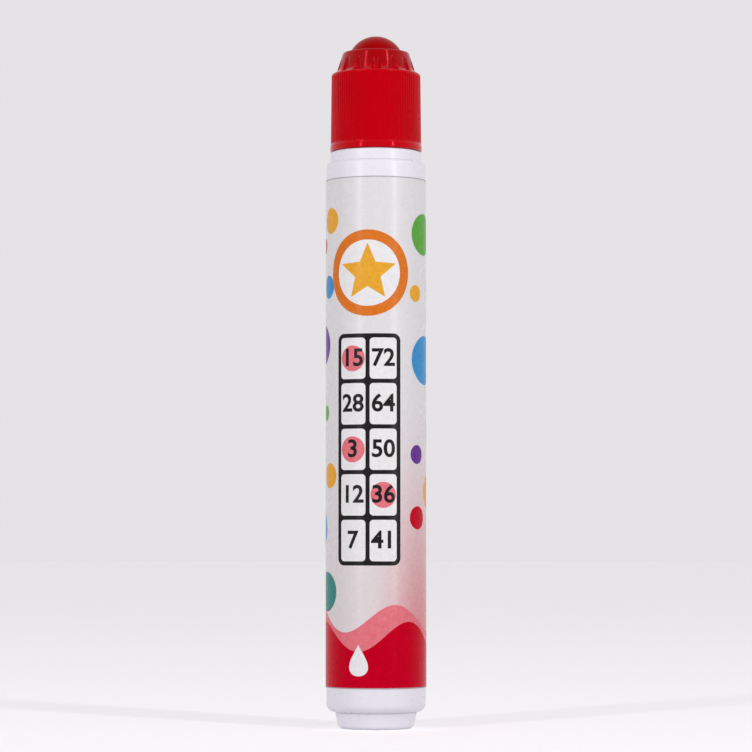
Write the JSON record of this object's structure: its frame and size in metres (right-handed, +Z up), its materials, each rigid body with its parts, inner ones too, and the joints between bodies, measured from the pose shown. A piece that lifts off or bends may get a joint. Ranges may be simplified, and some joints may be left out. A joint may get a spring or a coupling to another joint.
{
  "type": "bingo dauber",
  "caption": "Slim bingo dauber: a white ink barrel with a printed label, an end plug, a knurled screw cap with a fluted crown, and a sprung sponge tip that opens an ink valve.",
  "frame": {"origin": "middle of the foot's underside, on the surface that the dauber stands on", "axes": "+Z up the barrel's axis towards the cap; the label's main panel faces -Y"},
  "size_m": [0.0192, 0.0192, 0.1327],
  "materials": {
    "white_plastic": "gloss",
    "label_film": "gloss",
    "ink": "gloss",
    "natural_plastic": "satin",
    "spring_steel": "satin",
    "black_rubber": "matte",
    "sponge": "matte",
    "knit": "matte",
    "seal_foam": "matte",
    "cap_plastic": "gloss"
  },
  "bodies": {
    "barrel": {"end_plug": "white_plastic", "barrel": "white_plastic", "label": "label_film", "ink_fill": "ink", "neck_fitting": "white_plastic", "valve_housing": "natural_plastic", "valve_spring": "spring_steel", "tip_ring": "white_plastic"},
    "tip": {"valve_stem": "natural_plastic", "valve_seal": "black_rubber", "nib_carrier": "natural_plastic", "foam_tip": "sponge", "tip_cover": "knit"},
    "cap_seal": {"cap_seal": "seal_foam"},
    "cap": {"cap": "cap_plastic"}
  },
  "joints": [
    {"name": "tip_press", "type": "slide", "parent": "barrel", "child": "tip", "axis": [0, 0, -1], "range_m": [0, 0.0018], "stiffness_N_per_m": 450, "springref_m": -0.003, "deforming": ["valve_spring"]},
    {"name": "cap_rise", "type": "slide", "parent": "barrel", "child": "cap_seal", "axis": [0, 0, 1], "range_m": [0, 0.0301]},
    {"name": "cap_turn", "type": "hinge", "parent": "cap_seal", "child": "cap", "pos_m": [0, 0, 0.12], "axis": [0, 0, 1], "range_deg": [0, 1800]}
  ],
  "couplings": [
    {"joint": "cap_rise", "follows": "cap_turn", "m_per_rad": 0.00095493}
  ]
}
